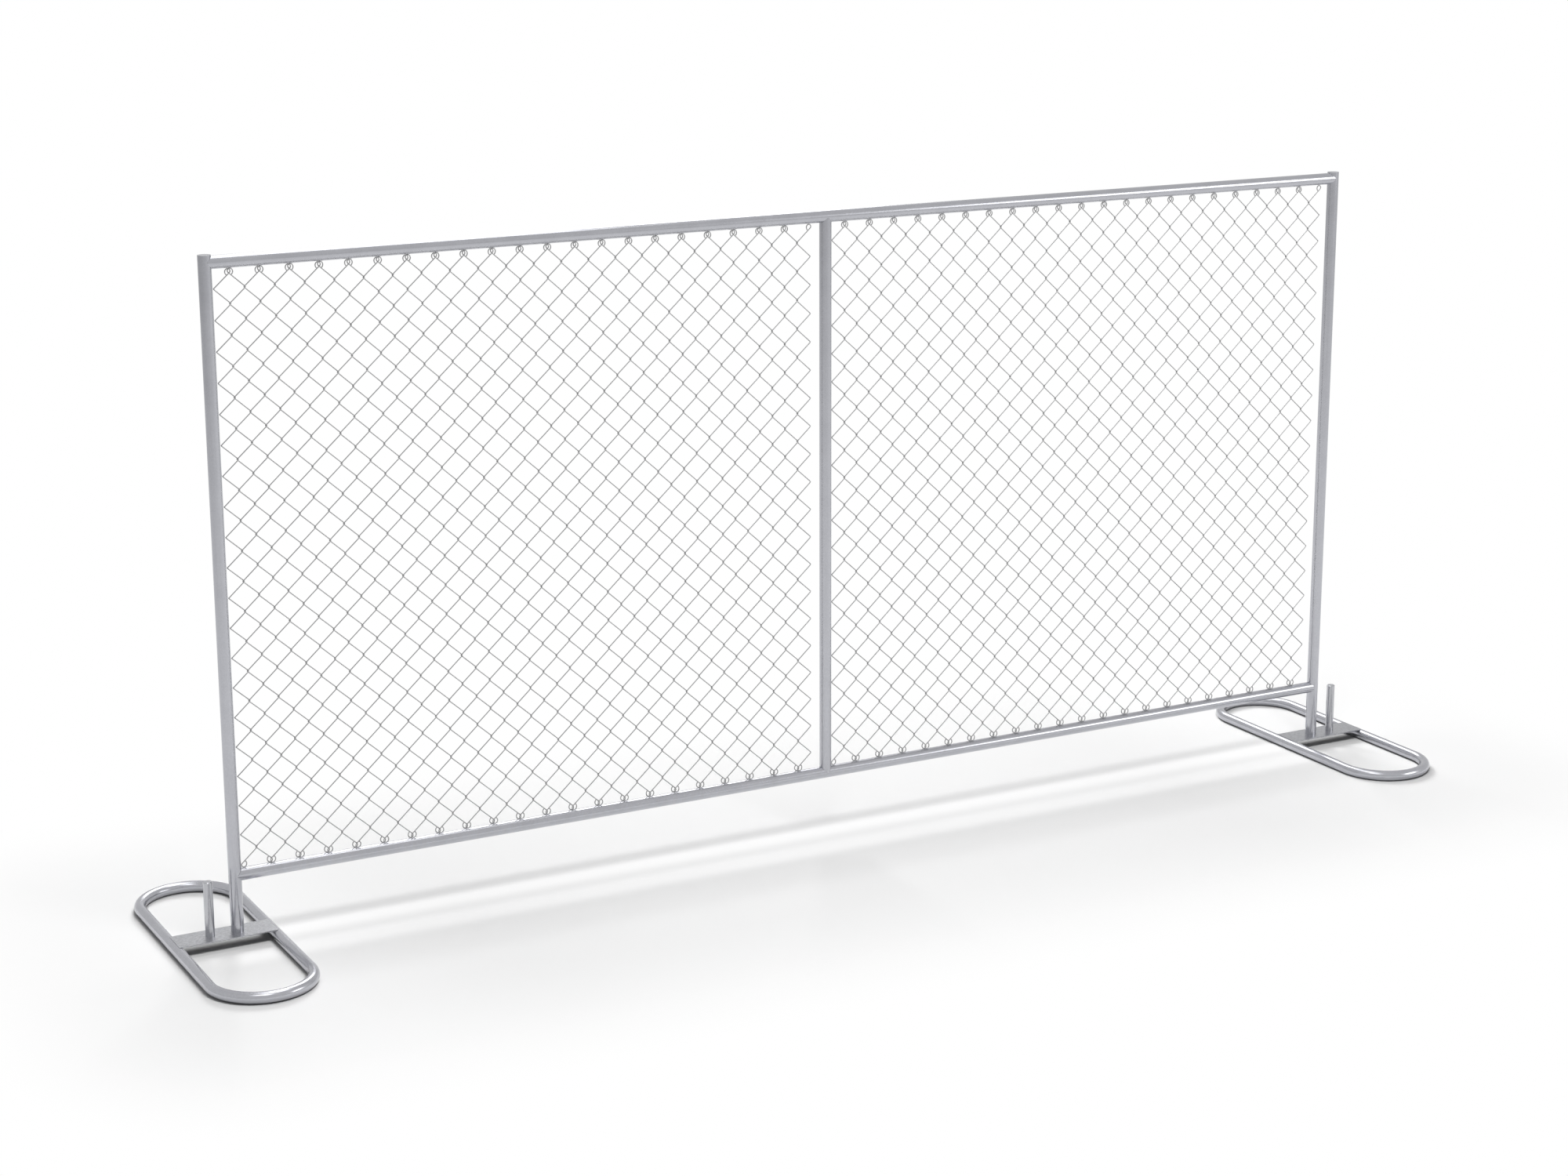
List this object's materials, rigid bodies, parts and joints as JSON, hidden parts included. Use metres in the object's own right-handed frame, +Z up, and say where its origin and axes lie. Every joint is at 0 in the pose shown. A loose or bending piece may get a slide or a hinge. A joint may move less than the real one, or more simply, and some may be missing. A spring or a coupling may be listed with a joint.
{
  "type": "temporary fence panel",
  "caption": "Free-standing temporary fence panel: a welded round-tube frame filled with chain link, its end posts dropped over pegs on ring-shaped feet that swivel and lift off.",
  "frame": {"origin": "on the ground, under the middle of the panel", "axes": "+X along the fence to the right as seen from the front, +Y away from the viewer across the fence, +Z up"},
  "size_m": [4.0044, 0.9138, 1.8618],
  "materials": {
    "tube": "galvanised, satin",
    "wire": "galvanised, satin",
    "foot_tube": "galvanised, satin",
    "plate": "galvanised, smooth",
    "peg": "galvanised, satin"
  },
  "bodies": {
    "panel": {"left_post": "tube", "right_post": "tube", "centre_post": "tube", "top_rail": "tube", "bottom_rail": "tube", "left_cap": "tube", "right_cap": "tube", "left_bay_wires_a": "wire", "left_bay_wires_b": "wire", "right_bay_wires_a": "wire", "right_bay_wires_b": "wire"},
    "left_pin": {"left_pin": "peg"},
    "left_stand": {"left_bow_front": "foot_tube", "left_bow_back": "foot_tube", "left_plate": "plate", "left_peg": "peg"},
    "right_pin": {"right_pin": "peg"},
    "right_stand": {"right_bow_front": "foot_tube", "right_bow_back": "foot_tube", "right_plate": "plate", "right_peg": "peg"}
  },
  "joints": [
    {"name": "left_lift_off", "type": "slide", "parent": "panel", "child": "left_pin", "axis": [0, 0, -1], "range_m": [0, 0.17]},
    {"name": "left_swivel", "type": "hinge", "parent": "left_pin", "child": "left_stand", "pos_m": [-1.81155, 0, 0.0328], "axis": [0, 0, 1], "range_deg": [-155, 155]},
    {"name": "right_lift_off", "type": "slide", "parent": "panel", "child": "right_pin", "axis": [0, 0, -1], "range_m": [0, 0.17]},
    {"name": "right_swivel", "type": "hinge", "parent": "right_pin", "child": "right_stand", "pos_m": [1.81155, 0, 0.0328], "axis": [0, 0, 1], "range_deg": [-155, 155]}
  ]
}
